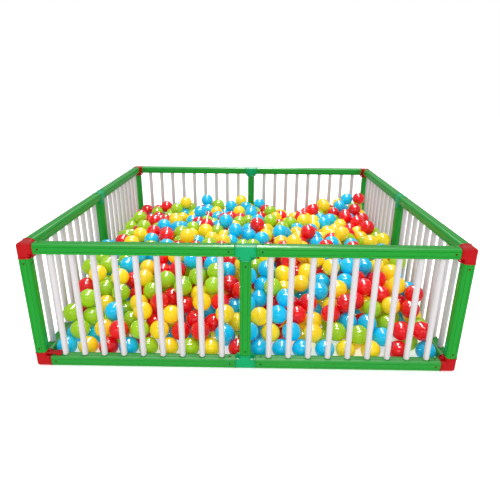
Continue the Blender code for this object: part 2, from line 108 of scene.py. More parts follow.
SMOOTH_ANGLE = math.radians(32)
MERGE_DISTANCE = 0.00001
CORNER_STEPS = 5
HOLE_SEGMENTS = 20
BUTTON_SEGMENTS = 12
BAR_SEGMENTS = 24
BAR_END_STEPS = 4
BUTTON_PROFILE_SHARES = [(1 / 2, 1), (1 / 6, 0.8), (0, 0.35)]
GROOVE_SHARES = [(1, 0), (0.7, 1), (0.3, 1)]
TONGUE_HEAD_SHARE = 0.35
# Material slot of the snap buttons, whose dark brown is painted shade for the shadow in their holes
BUTTON_SHADE_FINISH = 1
ROUND_PROFILE = 0.5
BLOCK_EDGE_STEPS = 3
EAR_EDGE_STEPS = 2

# The numbers of the colour sockets on a mix node
MIX_FACTOR = 0
MIX_DARK = 6
MIX_PALE = 7
MIX_COLOUR = 2
LINES_ALONG_X = (3.0, 260.0, 260.0)
LINES_ALONG_Z = (260.0, 260.0, 3.0)
MOULDED_SPECULAR = 0.15
EXTRUDED_SPECULAR = 0.3
BALL_SPECULAR = 0.1
BALL_COAT = 1.0
BALL_COAT_ROUGHNESS = 0.02
# Strength of a painted glow in each ball's own colour, which lifts its shaded undersides
BALL_SHADE_LIFTING_GLOW = 0.10
SEAM_WIDTH_SHARE = 0.03
FLOOR_ROUGHNESS = 0.6

NEAR_COLUMNS = 3
WAYS_DOWN = 8
LEAST_DROP = 0.00001
HOME_REACH = 1.5
OVER_SURFACE_SHARE = 0.45
FIRST_TRIES = 400
LAST_TRIES = 200


def length(name, description, default):
    """A property for a length that can't be negative."""
    return bpy.props.FloatProperty(
        name=name, description=description, default=default, min=0, precision=4, unit="LENGTH"
    )


def colour(name, description, default):
    """A property for the colour of a plastic."""
    return bpy.props.FloatVectorProperty(
        name=name, description=description, default=default, size=3, min=0, max=1, subtype="COLOR"
    )


def number(name, description, default):
    """A property for a plain number that can't be negative."""
    return bpy.props.FloatProperty(name=name, description=description, default=default, min=0)


def whole_number(name, description, default, least):
    """A property for a whole number with a least value."""
    return bpy.props.IntProperty(name=name, description=description, default=default, min=least)


def camera_angle(name, description, default):
    """A property for one of the camera's angles."""
    return bpy.props.FloatProperty(
        name=name, description=description, default=default, subtype="ANGLE"
    )


class FrameSizes(bpy.types.PropertyGroup):
    """Sizes of the tubes and the bars."""

    section: length("Section", "From the middle of a side to a corner post", loaded_section)
    height: length("Height", "Height of the whole frame", loaded_height)
    tube: length("Tube", "Width across the square tube", loaded_tube)
    tube_wall: length("Tube wall", "Thickness of the tube's wall", 0.0025)
    tube_corner: length("Tube corner", "Radius of the tube's long edges", 0.010)
    tube_lip: length("Tube lip", "How far the tube's end edges are rounded off", 0.0011)
    groove_width: length("Groove width", "Width of the grooves beside the long edges", 0.0022)
    groove_depth: length("Groove depth", "Depth of those grooves", 0.0012)
    fit: length("Fit", "Gap between pieces that are pushed together", 0.0003)
    snap_hole: length("Snap hole", "Width of the holes that the snap buttons show in", 0.0076)
    hole_at_corner: length("Hole at corner", "From a rail's corner end to its holes", 0.016)
    hole_at_tee: length("Hole at tee", "From a rail's tee end to its holes", 0.0195)
    hole_on_post: length("Hole on post", "From a post's ends to its holes", 0.016)
    bars: whole_number("Bars", "Bars in each section", 9, 1)
    bar: length("Bar", "Diameter of a bar", 0.020)
    bar_end_space: length("Bar end space", "From a post's middle to the first bar's", 0.080)
    bar_rounding: length("Bar rounding", "Radius of the edge at a bar's two ends", 0.003)


class ConnectorSizes(bpy.types.PropertyGroup):
    """Sizes of the corner connectors and the tees."""

    corner_arm: length("Corner arm", "From a corner's middle to the end of an arm", 0.033)
    tee_arm: length("Tee arm", "From a tee's middle to the end of an arm", 0.0335)
    tee_stem: length("Tee stem", "From a tee's middle to the end of its stem", 0.033)
    collar_width: length("Collar width", "Length of the raised collar on an arm's end", 0.003)
    collar_proud: length("Collar proud", "How far a collar stands out", loaded_proud)
    spigot: length("Spigot", "Length of the part that plugs into a tube", 0.028)
    ear: length("Ear", "Thickness of the ears in the bends", 0.005)
    eyelet: length("Eyelet", "Diameter of the hole in an ear", 0.005)
    button: length("Button", "Diameter of a snap button", 0.0060)
    button_recess: length("Button recess", "How far a button lies under the tube's face", 0.0020)
    tongue_width: length("Tongue width", "Width of the tongue on one bottom corner", 0.020)
    tongue_thickness: length("Tongue thickness", "Thickness of that tongue", 0.008)
    tongue_rise: length("Tongue rise", "How high that tongue runs over the rail", 0.005)
    tongue_outward: length("Tongue outward", "How far that tongue lies towards the outside", 0.004)
    tongue_clear: length("Tongue clear", "Gap between that tongue and the first bar", 0.0015)


class BallSizes(bpy.types.PropertyGroup):
    """Sizes of the balls and of the heap they lie in."""

    ball: length("Ball", "Diameter of a ball", 0.070)
    gap: length("Gap", "Gap between balls that touch", 0.0003)
    wall: length("Wall", "How far the outermost balls' middles lie from the pit's middle", 0.641)
    edge: length("Edge", "Half the width of the heap's slopes", 0.6304)
    heap_height: length("Heap height", "Height of the topmost balls' middles", 0.240)
    front_height: length("Front height", "Height of the heap's surface at the front", 0.065)
    front_run: length("Front run", "How far the heap takes to rise at the front", 0.420)
    side_drop: length("Side drop", "How much lower the heap is at its sides", 0.030)
    back_drop: length("Back drop", "How much lower the heap is at its back", 0.060)
    mound_rise: length("Mound rise", "Height of the mound at the back right", 0.065)
    mound_spread: length("Mound spread", "How wide that mound spreads", 0.170)
    dip_depth: length("Dip depth", "Depth of the dip beside that mound", 0.055)
    dip_spread: length("Dip spread", "How wide that dip spreads", 0.120)
    carrier_pitch: length("Carrier pitch", "Distance between the balls under a loose one", 0.0788)
    seed: whole_number("Seed", "Number that settles how the balls fall", 7, 0)
    colour_seed: whole_number("Colour seed", "Number that settles the balls' colours", 3, 0)
    rings: whole_number("Rings", "Rings of faces on each ball", 12, 6)


class PlasticColours(bpy.types.PropertyGroup):
    """Colours of the plastics."""

    green: colour("Green", "Colour of the tubes", (0.006, 0.290, 0.020))
    teal: colour("Teal", "Colour of the tees", (0.002, 0.330, 0.115))
    frame_red: colour("Frame red", "Colour of the corner connectors", (0.415, 0.002, 0.004))
    # The snap buttons' colour is painted shade: a dark brown for the shadow in their holes, where
    # the real buttons have their connector's colour
    button: colour("Button", "Colour of the snap buttons", (0.045, 0.030, 0.012))
    white: colour("White", "Colour of the bars", (0.592, 0.565, 0.577))
    red: colour("Red ball", "Colour of the red balls", (0.770, 0.004, 0.010))
    yellow: colour("Yellow ball", "Colour of the yellow balls", (1.000, 0.680, 0.012))
    lime: colour("Lime ball", "Colour of the lime balls", (0.335, 0.590, 0.012))
    blue: colour("Blue ball", "Colour of the blue balls", (0.001, 0.510, 0.860))
    tube_roughness: number("Tube roughness", "How matt the tubes are", 0.30)
    scuffed_roughness: number("Scuffed roughness", "How matt the bottom tubes are", 0.55)
    bar_roughness: number("Bar roughness", "How matt the bars are", 0.36)
    ball_roughness: number("Ball roughness", "How matt the balls are", 0.09)


class StageSettings(bpy.types.PropertyGroup):
    """The camera, the lights and the floor."""

    camera_place: bpy.props.FloatVectorProperty(
        name="Camera place",
        description="Where the camera stands",
        default=(0.02927, -1.98969, 0.9101),
        size=3,
        subtype="TRANSLATION",
    )
    camera_turn: camera_angle("Camera turn", "How far the camera looks to the right", -0.01212)
    camera_dip: camera_angle("Camera dip", "How far the camera looks down", 0.35563)
    camera_roll: camera_angle("Camera roll", "How far the camera leans", 0.00816)
    camera_lens: number("Camera lens", "Focal length in millimetres", 31.58)
    floor: colour("Floor", "Colour of the floor", (0.960, 0.960, 0.965))
    floor_glow: number("Floor glow", "How far the floor's shadows are lifted", 0.45)
    sky: number("Sky", "Strength of the light from all round", 1.0)
    sky_gloss: number("Sky gloss", "Share of that light that shows in gloss", 0.4)
    top_light: number("Top light", "Power of the wide light overhead, in watts", 30)
    strip_light: number("Strip light", "Power of the long strip high overhead, in watts", 6000)
    lamp: number("Lamp", "Power of each small lamp beside the strip, in watts", 500)
    front_light: number("Front light", "Power of the wide light in front, in watts", 95)


def settings(group):
    """One of the scene's groups of settings."""
    return getattr(bpy.context.scene, f"ball_pit_{group}")


def new_material(name):
    """An empty node material and its shader."""
    material = bpy.data.materials.new(name)
    material.use_nodes = True
    return material, material.node_tree.nodes["Principled BSDF"]


def add_node(material, kind, inputs=(), **options):
    """A node with some of its sockets and options set."""
    node = material.node_tree.nodes.new(kind)
    for key, value in options.items():
        setattr(node, key, value)
    for key, value in dict(inputs).items():
        node.inputs[key].default_value = value
    return node


def join_sockets(material, source, target):
    """Run one socket into another."""
    material.node_tree.links.new(source, target)


def own_place(material):
    """The socket that gives each spot's place on its own piece."""
    return add_node(material, "ShaderNodeTexCoord").outputs["Object"]


def clouds(material, place, scale, detail):
    """A cloudy pattern, with so many clouds to the metre."""
    noise = add_node(material, "ShaderNodeTexNoise", {"Scale": scale, "Detail": detail})
    join_sockets(material, place, noise.inputs["Vector"])
    return noise.outputs["Fac"]


def tinted(material, shader, base, pattern, light):
    """Let a pattern move the colour between a darker and a paler shade of the base."""
    mix = add_node(material, "ShaderNodeMix", data_type="RGBA")
    mix.inputs[MIX_DARK].default_value = (*[channel * (1 - light) for channel in base], 1)
    mix.inputs[MIX_PALE].default_value = (*[min(channel * (1 + light), 1) for channel in base], 1)
    join_sockets(material, pattern, mix.inputs[MIX_FACTOR])
    join_sockets(material, mix.outputs[MIX_COLOUR], shader.inputs["Base Color"])


def unevenly_glossy(material, shader, pattern, low, high):
    """Let a pattern move the roughness between a glossier and a duller finish."""
    finish = add_node(material, "ShaderNodeMapRange", {"To Min": low, "To Max": high})
    join_sockets(material, pattern, finish.inputs["Value"])
    join_sockets(material, finish.outputs["Result"], shader.inputs["Roughness"])


def raised(material, shader, pattern, strength, height):
    """Let a pattern raise the surface a little."""
    bump = add_node(material, "ShaderNodeBump", {"Strength": strength, "Distance": height})
    join_sockets(material, pattern, bump.inputs["Height"])
    join_sockets(material, bump.outputs["Normal"], shader.inputs["Normal"])


def moulded_plastic(name, base, roughness):
    """Injection-moulded plastic: slightly mottled, with a fine skin and faintly uneven gloss."""
    material, shader = new_material(name)
    place = own_place(material)
    mottle = clouds(material, place, scale=22.0, detail=3.0)
    skin = clouds(material, place, scale=900.0, detail=2.0)
    tinted(material, shader, base, mottle, light=0.06)
    unevenly_glossy(material, shader, mottle, low=roughness * 0.8, high=roughness * 1.25)
    raised(material, shader, skin, strength=0.12, height=0.0003)
    shader.inputs["Specular IOR Level"].default_value = MOULDED_SPECULAR
    return material


def extruded_plastic(name, base, roughness, stretch):
    """Extruded plastic: fine die lines that run along the piece, and a little mottling."""
    material, shader = new_material(name)
    place = own_place(material)
    lines = add_node(material, "ShaderNodeMapping", {"Scale": stretch})
    join_sockets(material, place, lines.inputs["Vector"])
    streaks = clouds(material, lines.outputs["Vector"], scale=1.0, detail=4.0)
    mottle = clouds(material, place, scale=9.0, detail=2.0)
    total = add_node(material, "ShaderNodeMath", operation="ADD")
    join_sockets(material, streaks, total.inputs[0])
    join_sockets(material, mottle, total.inputs[1])
    mean = add_node(material, "ShaderNodeMath", {1: 1 / 2}, operation="MULTIPLY")
    join_sockets(material, total.outputs[0], mean.inputs[0])
    tinted(material, shader, base, mean.outputs[0], light=0.07)
    unevenly_glossy(material, shader, streaks, low=roughness * 0.8, high=roughness * 1.2)
    raised(material, shader, streaks, strength=0.15, height=0.0002)
    shader.inputs["Specular IOR Level"].default_value = EXTRUDED_SPECULAR
    return material


def ball_plastic(name, base, roughness):
    """Glossy blown plastic, a shade of its own for each ball, with a mould seam round it and a
    faint painted glow.
    """
    material, shader = new_material(name)
    tint = add_node(material, "ShaderNodeAttribute", attribute_name="tint")
    seam = add_node(material, "ShaderNodeAttribute", attribute_name="seam")
    mottle = clouds(material, own_place(material), scale=28.0, detail=2.0)
    tinted(material, shader, base, tint.outputs["Fac"], light=0.10)
    unevenly_glossy(material, shader, mottle, low=roughness * 0.7, high=roughness * 1.5)
    away = add_node(material, "ShaderNodeMath", operation="ABSOLUTE")
    join_sockets(material, seam.outputs["Fac"], away.inputs[0])
    ridge = add_node(
        material,
        "ShaderNodeMapRange",
        {"From Min": 0, "From Max": SEAM_WIDTH_SHARE, "To Min": 1, "To Max": 0},
        interpolation_type="SMOOTHSTEP",
    )
    join_sockets(material, away.outputs[0], ridge.inputs["Value"])
    raised(material, shader, ridge.outputs["Result"], strength=0.35, height=0.0006)
    shader.inputs["Specular IOR Level"].default_value = BALL_SPECULAR
    shader.inputs["Coat Weight"].default_value = BALL_COAT
    shader.inputs["Coat Roughness"].default_value = BALL_COAT_ROUGHNESS
    # Painted light: a faint glow in the ball's own colour lifts the shade on its undersides and in
    # the gaps
    shader.inputs["Emission Color"].default_value = (*base, 1)
    shader.inputs["Emission Strength"].default_value = BALL_SHADE_LIFTING_GLOW
    return material


def floor_paint(name, base, glow):
    """A plain pale floor with hardly any gloss, its shadows lifted by a faint glow."""
    material, shader = new_material(name)
    patches = clouds(material, own_place(material), scale=2.0, detail=2.0)
    tinted(material, shader, base, patches, light=0.01)
    shader.inputs["Roughness"].default_value = FLOOR_ROUGHNESS
    shader.inputs["Emission Color"].default_value = WHITE_LIGHT
    shader.inputs["Emission Strength"].default_value = glow
    return material


def plastic(name):
    """The finish of that name, made once and shared."""
    if name in bpy.data.materials:
        return bpy.data.materials[name]
    colours = settings("colours")
    extruded = {
        "green tube": (colours.green, colours.tube_roughness, LINES_ALONG_X),
        "scuffed green tube": (colours.green, colours.scuffed_roughness, LINES_ALONG_X),
        "white bar": (colours.white, colours.bar_roughness, LINES_ALONG_Z),
    }
    moulded = {
        "teal tee": colours.teal,
        "red corner": colours.frame_red,
        # The snap buttons' dark brown is painted shade for their shadowed holes
        "snap button": colours.button,
    }
    if name in extruded:
        return extruded_plastic(name, *extruded[name])
    if name in moulded:
        return moulded_plastic(name, moulded[name], colours.tube_roughness)
    kind = name.split()[0]
    return ball_plastic(name, getattr(colours, kind), colours.ball_roughness)


def link_piece(name, data, matrix=None):
    """Add one named piece, light or camera to the scene, at its place."""
    piece = bpy.data.objects.new(name, data)
    bpy.context.scene.collection.objects.link(piece)
    if matrix is not None:
        piece.matrix_world = matrix
    return piece


def finish_mesh(name, bm, material):
    """Turn a bmesh into a smooth mesh with its faces pointing out."""
    bmesh.ops.recalc_face_normals(bm, faces=bm.faces)
    mesh = bpy.data.meshes.new(name)
    bm.to_mesh(mesh)
    bm.free()
    mesh.materials.append(material)
    mesh.shade_smooth()
    mesh.set_sharp_from_angle(angle=SMOOTH_ANGLE)
    return mesh


def even_normals(piece):
    """Let the large flat faces settle the shading beside rounded edges."""
    weighted = piece.modifiers.new("even normals", "WEIGHTED_NORMAL")
    weighted.keep_sharp = True
    return piece


def combined(name, base_mesh, others, operation):
    """A mesh with others cut from it or joined to it."""
    base = link_piece(name, base_mesh)
    guests = [link_piece(f"{name}_guest", other) for other in others]
    for guest in guests:
        step = base.modifiers.new("combine", "BOOLEAN")
        step.operation = operation
        step.solver = "EXACT"
        step.object = guest
    bpy.context.view_layer.update()
    shown = base.evaluated_get(bpy.context.evaluated_depsgraph_get())
    made = bpy.data.meshes.new_from_object(shown)
    for temporary in [base, *guests]:
        bpy.data.objects.remove(temporary, do_unlink=True)
    bm = bmesh.new()
    bm.from_mesh(made)
    bmesh.ops.remove_doubles(bm, verts=bm.verts, dist=MERGE_DISTANCE)
    return finish_mesh(name, bm, base_mesh.materials[0])


def rounded_square(size, radius):
    """Points round a square, counter-clockwise, with each corner an arc."""
    points = []
    straight = size / 2 - radius
    for corner in range(4):
        turn = math.radians(90) * corner
        along = math.cos(turn + math.radians(45)) * math.sqrt(2) * straight
        across = math.sin(turn + math.radians(45)) * math.sqrt(2) * straight
        for step in range(CORNER_STEPS + 1):
            angle = turn + math.radians(90) * step / CORNER_STEPS
            points.append((along + radius * math.cos(angle), across + radius * math.sin(angle)))
    return points


def grooved_square(size, radius, width, depth):
    """A rounded square with a shallow groove along both borders of each flat face."""
    plain = rounded_square(size, radius)
    count = len(plain) // 4
    points = []
    for corner in range(4):
        arc = plain[corner * count:(corner + 1) * count]
        turn = math.radians(90) * corner
        outward = Vector((math.cos(turn), math.sin(turn)))
        onward = Vector((-outward.y, outward.x))
        first = Vector(arc[0])
        last = Vector(arc[-1])
        for along, down in GROOVE_SHARES:
            points.append(first - onward * width * along - outward * depth * down)
        points.extend(arc)
        for along, down in reversed(GROOVE_SHARES):
            points.append(last - outward * width * along - onward * depth * down)
    return [tuple(point) for point in points]


def circle(radius, segments):
    """Points round a circle."""
    angles = [2 * math.pi * k / segments for k in range(segments)]
    return [(radius * math.cos(angle), radius * math.sin(angle)) for angle in angles]


def add_ring(bm, x, outline):
    """A closed loop of points square to X."""
    return [bm.verts.new((x, y, z)) for y, z in outline]


def loft(bm, rings, closed=False):
    """Skin a row of rings. It ends in flat caps, or where closed runs on into the first ring."""
    pairs = list(zip(rings, rings[1:]))
    if closed:
        pairs.append((rings[-1], rings[0]))
    else:
        bm.faces.new(rings[0])
        bm.faces.new(rings[-1])
    for first, second in pairs:
        for k in range(len(first)):
            bm.faces.new((first[k - 1], first[k], second[k], second[k - 1]))


def lofted(name, outlines, material, closed=False):
    """A mesh skinned over outlines that stand at their places along X."""
    bm = bmesh.new()
    loft(bm, [add_ring(bm, x, outline) for x, outline in outlines], closed)
    return finish_mesh(name, bm, material)


def add_pin(bm, profile, segments, matrix):
    """A round pin at the matrix's place, from a profile of heights and radii."""
    rings = []
    for height, radius in profile:
        points = [matrix @ Vector((x, y, height)) for x, y in circle(radius, segments)]
        rings.append([bm.verts.new(point) for point in points])
    loft(bm, rings)


def turned(mesh, rotation):
    """A copy of a mesh, turned about the origin."""
    copy = mesh.copy()
    copy.transform(rotation.to_4x4())
    return copy


def quarter_turns(count, axis):
    """A rotation by so many quarter turns, exact to the last digit."""
    turn = Matrix.Rotation(math.radians(90) * count, 3, axis)
    return Matrix([[round(value) for value in row] for row in turn])


def placed(location, rotation):
    """The matrix that turns something and puts it at its place."""
    return Matrix.Translation(location) @ rotation.to_4x4()


def peg(width, depth, turn, centre, material):
    """A round peg that cuts a hole. It stands upright before its turn."""
    bm = bmesh.new()
    radius = width / 2
    bmesh.ops.create_cone(
        bm, cap_ends=True, segments=HOLE_SEGMENTS, radius1=radius, radius2=radius, depth=depth
    )
    bmesh.ops.transform(bm, matrix=turn.to_4x4(), verts=bm.verts)
    bmesh.ops.translate(bm, vec=centre, verts=bm.verts)
    return finish_mesh("peg", bm, material)


def tube_mesh(name, start, end, hole_places):
    """A hollow square tube along X with rounded, grooved edges and snap holes in its faces."""
    sizes = settings("frame")
    material = plastic("green tube")
    corner = sizes.tube_corner
    lip = sizes.tube_lip
    wall = sizes.tube_wall
    width = sizes.groove_width
    outside = grooved_square(sizes.tube, corner, width, sizes.groove_depth)
    rim = grooved_square(sizes.tube - 2 * lip, corner - lip, width, sizes.groove_depth)
    bore = grooved_square(sizes.tube - 2 * wall, corner - wall, width, 0)
    outlines = [
        (start, bore),
        (start, rim),
        (start + lip, outside),
        (end - lip, outside),
        (end, rim),
        (end, bore),
    ]
    plain = lofted(name, outlines, material, closed=True)
    pegs = []
    for place in hole_places:
        for turns in (1, 0):
            turn = quarter_turns(turns, "X")
            pegs.append(peg(sizes.snap_hole, 2 * sizes.tube, turn, (place, 0, 0), material))
    return combined(name, plain, pegs, "DIFFERENCE")


def rail_mesh(name):
    """A rail along X, from a corner connector at its start to a tee at its end."""
    sizes = settings("frame")
    arms = settings("connectors")
    start = -sizes.section / 2 + arms.corner_arm + sizes.fit
    end = sizes.section / 2 - arms.tee_arm - sizes.fit
    holes = [start + sizes.hole_at_corner, end - sizes.hole_at_tee]
    return tube_mesh(name, start, end, holes)


def line_heights():
    """Heights of the centre lines of the bottom and the top rails."""
    sizes = settings("frame")
    bottom = sizes.tube / 2 + settings("connectors").collar_proud
    return bottom, sizes.height - bottom


def bars_mesh(name):
    """The bars of one section, in a row along X over a rail's centre line."""
    sizes = settings("frame")
    bottom, top = line_heights()
    low = sizes.tube / 2 - sizes.tube_wall / 2
    high = top - bottom - sizes.tube / 2 - sizes.fit
    seat = sizes.tube / 2 + sizes.fit
    radius = sizes.bar / 2
    rounding = sizes.bar_rounding
    profile = [(low, radius - rounding), (seat, radius - rounding)]
    for step in range(BAR_END_STEPS + 1):
        angle = math.radians(90) * step / BAR_END_STEPS
        profile.append(
            (seat + rounding * (1 - math.cos(angle)), radius - rounding * (1 - math.sin(angle)))
        )
    profile.append((high - rounding / 3, radius))
    profile.append((high, radius - rounding / 3))
    row = sizes.section - 2 * sizes.bar_end_space
    bm = bmesh.new()
    for bar in range(sizes.bars):
        x = row * (bar / max(sizes.bars - 1, 1) - 1 / 2)
        add_pin(bm, profile, BAR_SEGMENTS, Matrix.Translation((x, 0, 0)))
    bmesh.ops.remove_doubles(bm, verts=bm.verts, dist=MERGE_DISTANCE)
    return finish_mesh(name, bm, plastic("white bar"))


def arm_outlines(arm_length):
    """An arm's body, raised collar and spigot, as outlines at their places along it."""
    sizes = settings("frame")
    arms = settings("connectors")
    corner = sizes.tube_corner
    proud = arms.collar_proud
    edge = proud / 2
    inset = sizes.tube_wall + sizes.fit
    collar_start = arm_length - arms.collar_width
    body = rounded_square(sizes.tube, corner)
    undercut = rounded_square(sizes.tube - 2 * edge, corner - edge)
    foot = rounded_square(sizes.tube + 2 * edge, corner + edge)
    collar = rounded_square(sizes.tube + 2 * proud, corner + proud)
    spigot = rounded_square(sizes.tube - 2 * inset, corner - inset)
    return [
        (collar_start - 3 * edge, body),
        (collar_start - 2 * edge, undercut),
        (collar_start, undercut),
        (collar_start, foot),
        (collar_start + edge, collar),
        (arm_length - edge, collar),
        (arm_length, foot),
        (arm_length, spigot),
        (arm_length + arms.spigot, spigot),
    ]


def arm_mesh(name, arm_length, material):
    """One arm of a connector, along X from the connector's centre."""
    outlines = arm_outlines(arm_length)
    root = (0, outlines[0][1])
    return lofted(name, [root, *outlines], material)


def run_mesh(name, arm_length, material):
    """Two arms in one straight run along X."""
    outlines = arm_outlines(arm_length)
    far_outlines = [(-x, outline) for x, outline in reversed(outlines)]
    return lofted(name, [*far_outlines, *outlines], material)


def ear_mesh(name, first_arm, second_arm, material):
    """A flat ear with an eyelet that fills the bend between an arm along X and one along Y."""
    sizes = settings("frame")
    arms = settings("connectors")
    half = sizes.tube / 2
    root = half - sizes.tube_corner / 2
    reach_x = first_arm - half
    reach_y = second_arm - half
    outline = [
        (root, root),
        (half + reach_x, root),
        (half + reach_x, half + reach_y / 2),
        (half + reach_x / 2, half + reach_y),
        (root, half + reach_y),
    ]
    bm = bmesh.new()
    loft(bm, [add_ring(bm, side * arms.ear / 2, outline) for side in (-1, 1)])
    outer_edges = [
        edge for edge in bm.edges if all(sum(vert.co.yz) > 2 * half for vert in edge.verts)
    ]
    bmesh.ops.bevel(
        bm, geom=outer_edges, offset=arms.ear / 8, segments=EAR_EDGE_STEPS, affect="EDGES"
    )
    plain = finish_mesh(name, bm, material)
    centre = (0, half + reach_x / 2, half + reach_y / 2)
    eyelet = peg(arms.eyelet, 2 * arms.ear, quarter_turns(1, "Y"), centre, material)
    pierced = combined(name, plain, [eyelet], "DIFFERENCE")
    lay_flat = Matrix(((0, 1, 0), (0, 0, 1), (1, 0, 0)))
    pierced.transform(lay_flat.to_4x4())
    return pierced


def buttons_mesh(place, material):
    """Domed snap buttons on the spigot of an arm along X, one to each face."""
    sizes = settings("frame")
    arms = settings("connectors")
    low = sizes.tube / 2 - 2 * sizes.tube_wall - 2 * sizes.fit
    high = sizes.tube / 2 - arms.button_recess
    radius = arms.button / 2
    profile = [(low, radius)]
    profile.extend((high - radius * down, radius * wide) for down, wide in BUTTON_PROFILE_SHARES)
    bm = bmesh.new()
    for side in range(4):
        add_pin(bm, profile, BUTTON_SEGMENTS, placed((place, 0, 0), quarter_turns(side, "X")))
    # The buttons take the dark finish that paints the shade in their holes
    for face in bm.faces:
        face.material_index = BUTTON_SHADE_FINISH
    return finish_mesh("buttons", bm, material)


def rounded_block(name, low, high, rounding, steps, material):
    """A block between two corners, its edges rounded in so many steps."""
    middle = (Vector(low) + Vector(high)) / 2
    size = Vector(high) - Vector(low)
    bm = bmesh.new()
    bmesh.ops.create_cube(
        bm, size=1, matrix=Matrix.Translation(middle) @ Matrix.Diagonal((*size, 1))
    )
    bmesh.ops.bevel(
        bm, geom=bm.edges, offset=rounding, segments=steps, profile=ROUND_PROFILE, affect="EDGES"
    )
    return finish_mesh(name, bm, material)


def tongue_meshes(material):
    """A tongue along +Y that runs clear of the rail, its thicker end block and the nub under it."""
    sizes = settings("frame")
    arms = settings("connectors")
    start = sizes.tube / 2 - sizes.tube_corner / 2
    end = sizes.bar_end_space - sizes.bar / 2 - arms.tongue_clear
    near = -sizes.tube / 2 - arms.tongue_rise
    far = near - arms.tongue_thickness
    low_x = -arms.tongue_outward - arms.tongue_width / 2
    high_x = low_x + arms.tongue_width
    head = end - TONGUE_HEAD_SHARE * (end - start)
    step = arms.tongue_thickness / 4
    nub = arms.tongue_width / 4
    rounding = arms.tongue_thickness / 6
    blocks = [
        (
            "tongue",
            (low_x + step, start, far + step),
            (high_x - step, end - step, near - step / 2),
            rounding,
        ),
        ("tongue_head", (low_x, head, far), (high_x, end, near), rounding),
        (
            "tongue_foot",
            (low_x + nub / 2, head + nub / 2, near - step),
            (low_x + 1.5 * nub, end - nub / 2, near + arms.tongue_rise - sizes.fit),
            rounding / 2,
        ),
    ]
    return [rounded_block(*block, BLOCK_EDGE_STEPS, material) for block in blocks]


def merged(name, meshes, material):
    """A connector's body and its buttons as one mesh, with the buttons' dark painted-shade finish
    as its second.
    """
    bm = bmesh.new()
    for mesh in meshes:
        bm.from_mesh(mesh)
    mesh = finish_mesh(name, bm, material)
    mesh.materials.append(plastic("snap button"))
    return mesh


def corner_mesh(has_tongue):
    """A three-armed connector with arms along +X, +Y and -Z, and an ear in each bend."""
    sizes = settings("frame")
    arms = settings("connectors")
    material = plastic("red corner")
    arm = arm_mesh("corner_arm", arms.corner_arm, material)
    ear = ear_mesh("corner_ear", arms.corner_arm, arms.corner_arm, material)
    buttons = buttons_mesh(arms.corner_arm + sizes.fit + sizes.hole_at_corner, material)
    to_y = quarter_turns(1, "Z")
    to_down = quarter_turns(1, "Y")
    joined = [
        arm,
        turned(arm, to_y),
        turned(arm, to_down),
        ear,
        turned(ear, quarter_turns(3, "X")),
        turned(ear, to_down),
    ]
    if has_tongue:
        joined.extend(tongue_meshes(material))
    half = Vector((sizes.tube, sizes.tube, sizes.tube)) / 2
    block = rounded_block("block", -half, half, sizes.tube_corner, CORNER_STEPS, material)
    body = combined("corner_body", block, joined, "UNION")
    parts = [body, buttons, turned(buttons, to_y), turned(buttons, to_down)]
    return merged("corner_connector", parts, material)


def tee_mesh():
    """A tee with arms along +X and -X and a stem along -Z, with an ear on each side of it."""
    sizes = settings("frame")
    arms = settings("connectors")
    material = plastic("teal tee")
    to_down = quarter_turns(1, "Y")
    stem = turned(arm_mesh("tee_stem", arms.tee_stem, material), to_down)
    ear = turned(
        ear_mesh("tee_ear", arms.tee_arm, arms.tee_stem, material), quarter_turns(3, "X")
    )
    run = run_mesh("tee_run", arms.tee_arm, material)
    joined = [stem, ear, turned(ear, quarter_turns(2, "Z"))]
    body = combined("tee_body", run, joined, "UNION")
    side = buttons_mesh(arms.tee_arm + sizes.fit + sizes.hole_at_tee, material)
    down = buttons_mesh(arms.tee_stem + sizes.fit + sizes.hole_on_post, material)
    parts = [body, side, turned(side, quarter_turns(2, "Z")), turned(down, to_down)]
    return merged("tee_connector", parts, material)


def stand(piece, body, slot_name, *nodes):
    """Let a piece stand for its nodes and ride on their body. The slot name is not used."""
    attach(piece, body)
    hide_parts(*nodes)


def sections():
    """Each section's name, the turn of its side, and -1 left of the side's middle or 1 right."""
    for turn, side in enumerate(SIDES):
        for sign in (-1, 1):
            beside = SIDES[(turn + sign) % len(SIDES)]
            yield f"{side}_{beside}", quarter_turns(turn, "Z"), sign


def connector_places(names, x, over):
    """Each connector's level, name and matrix. The turn over makes a top one a bottom one."""
    for turn, name in enumerate(names):
        rotation = quarter_turns(turn, "Z")
        for level, height in zip(LEVELS, line_heights()):
            place = rotation @ Vector((x, -settings("frame").section, height))
            facing = rotation if level == "top" else rotation @ over
            yield level, name, placed(place, facing)


def sphere_shape(rings):
    """Points and faces of a ball of radius one, its poles up and down."""
    segments = 2 * rings
    points = [(0, 0, 1)]
    for ring in range(1, rings):
        tilt = math.pi * ring / rings
        points.extend((x, y, math.cos(tilt)) for x, y in circle(math.sin(tilt), segments))
    points.append((0, 0, -1))
    faces = [(0, 1 + k, 1 + (k + 1) % segments) for k in range(segments)]
    for ring in range(rings - 2):
        first = 1 + ring * segments
        second = first + segments
        for k in range(segments):
            after = (k + 1) % segments
            faces.append((first + k, second + k, second + after, first + after))
    last = len(points) - 1
    first = last - segments
    faces.extend((first + k, last, first + (k + 1) % segments) for k in range(segments))
    return np.array(points), faces


def random_turn(dice):
    """A rotation that is as likely as any other."""
    parts = [dice.gauss(0, 1) for _ in range(4)]
    return np.array(Quaternion(parts).normalized().to_matrix())


